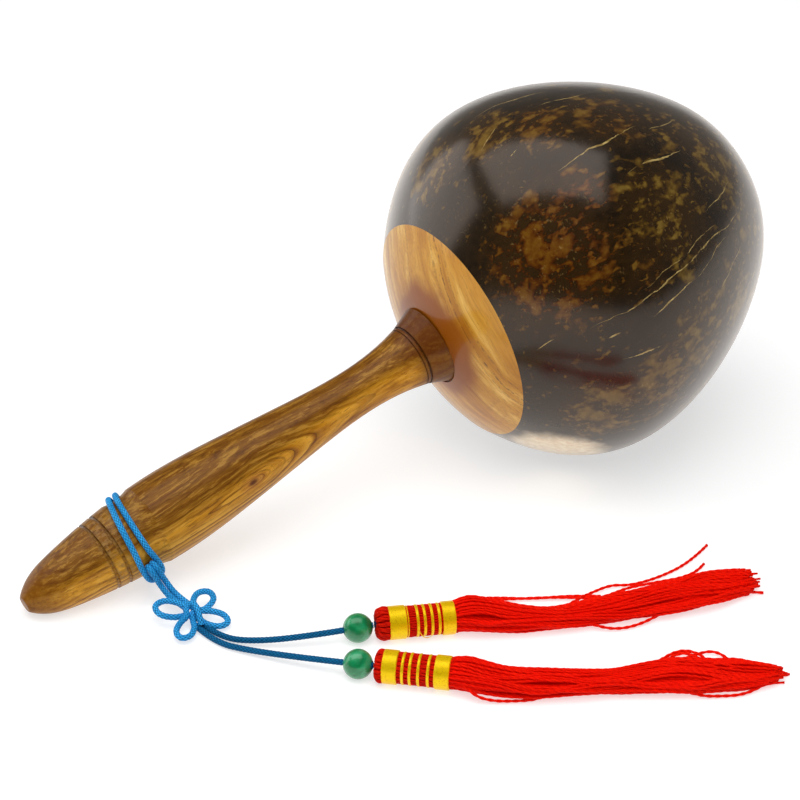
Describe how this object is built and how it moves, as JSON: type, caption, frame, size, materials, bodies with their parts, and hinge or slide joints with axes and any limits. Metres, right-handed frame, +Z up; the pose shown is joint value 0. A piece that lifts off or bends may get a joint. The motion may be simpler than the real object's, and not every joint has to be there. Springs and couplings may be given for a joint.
{
  "type": "maraca",
  "caption": "Single coconut-shell maraca with a turned wooden handle, lying on its side, and a knotted cord lanyard with beads and thread tassels.",
  "frame": {"origin": "on the table under the middle of the maraca's own box, the lanyard left out", "axes": "+Z up from the table; +X from the handle's free end towards the shell; the lanyard lies towards -Y"},
  "size_m": [0.2396, 0.193, 0.1084],
  "materials": {
    "coconut": "polished and lacquered, glossy",
    "cap_wood": "lacquered, glossy",
    "handle_wood": "lacquered, satin gloss",
    "seed": "dry, matt",
    "cord_blue": "braided polyester, slight sheen",
    "bead_green": "polished",
    "thread_red": "rayon thread, silky",
    "thread_gold": "metallic wound thread, shiny"
  },
  "bodies": {
    "maraca": {"coconut_shell": "coconut", "end_cap": "cap_wood", "handle": "handle_wood"},
    "seeds_front": {"rattle_seeds_front": "seed"},
    "seeds_middle": {"rattle_seeds_middle": "seed"},
    "seeds_rear": {"rattle_seeds_rear": "seed"},
    "lanyard": {"hitch_wraps": "cord_blue", "hitch_bight": "cord_blue", "stem_strand_left": "cord_blue", "stem_strand_right": "cord_blue", "knot_centre": "cord_blue", "knot_petal_left": "cord_blue", "knot_petal_top": "cord_blue", "knot_petal_right": "cord_blue", "knot_petal_bottom": "cord_blue", "tail_upper": "cord_blue", "tail_lower": "cord_blue"},
    "bead_upper": {"bead_upper": "bead_green"},
    "tassel_upper": {"tassel_knob_upper": "thread_red", "stopper_knot_upper": "cord_blue", "tassel_core_upper": "thread_red", "front_band_upper": "thread_gold", "thin_bands_upper": "thread_gold", "rear_band_upper": "thread_gold", "tassel_skirt_upper": "thread_red"},
    "bead_lower": {"bead_lower": "bead_green"},
    "tassel_lower": {"tassel_knob_lower": "thread_red", "stopper_knot_lower": "cord_blue", "tassel_core_lower": "thread_red", "front_band_lower": "thread_gold", "thin_bands_lower": "thread_gold", "rear_band_lower": "thread_gold", "tassel_skirt_lower": "thread_red"}
  },
  "joints": [
    {"name": "seeds_front_swirl", "type": "hinge", "parent": "maraca", "child": "seeds_front", "pos_m": [0.06225, 0, 0.0557], "axis": [0.9751, 0, 0.2215], "continuous": true},
    {"name": "seeds_middle_swirl", "type": "hinge", "parent": "maraca", "child": "seeds_middle", "pos_m": [0.06225, 0, 0.0557], "axis": [0.9751, 0, 0.2215], "continuous": true},
    {"name": "seeds_rear_swirl", "type": "hinge", "parent": "maraca", "child": "seeds_rear", "pos_m": [0.06225, 0, 0.0557], "axis": [0.9751, 0, 0.2215], "continuous": true},
    {"name": "lanyard_turn", "type": "hinge", "parent": "maraca", "child": "lanyard", "pos_m": [-0.08526, 0, 0.0146], "axis": [0.958, 0, 0.2869], "continuous": true},
    {"name": "bead_upper_slide", "type": "slide", "parent": "lanyard", "child": "bead_upper", "axis": [0.9249, -0.3737, 0.0698], "range_m": [-0.006, 0]},
    {"name": "tassel_upper_swing", "type": "hinge", "parent": "lanyard", "child": "tassel_upper", "pos_m": [-0.04682, -0.06011, 0.0043], "axis": [0, 0, 1], "range_deg": [-6, 25]},
    {"name": "bead_lower_slide", "type": "slide", "parent": "lanyard", "child": "bead_lower", "axis": [0.6412, -0.7642, 0.0698], "range_m": [-0.006, 0]},
    {"name": "tassel_lower_swing", "type": "hinge", "parent": "lanyard", "child": "tassel_lower", "pos_m": [-0.05714, -0.07579, 0.0043], "axis": [0, 0, 1], "range_deg": [-30, 6]}
  ]
}
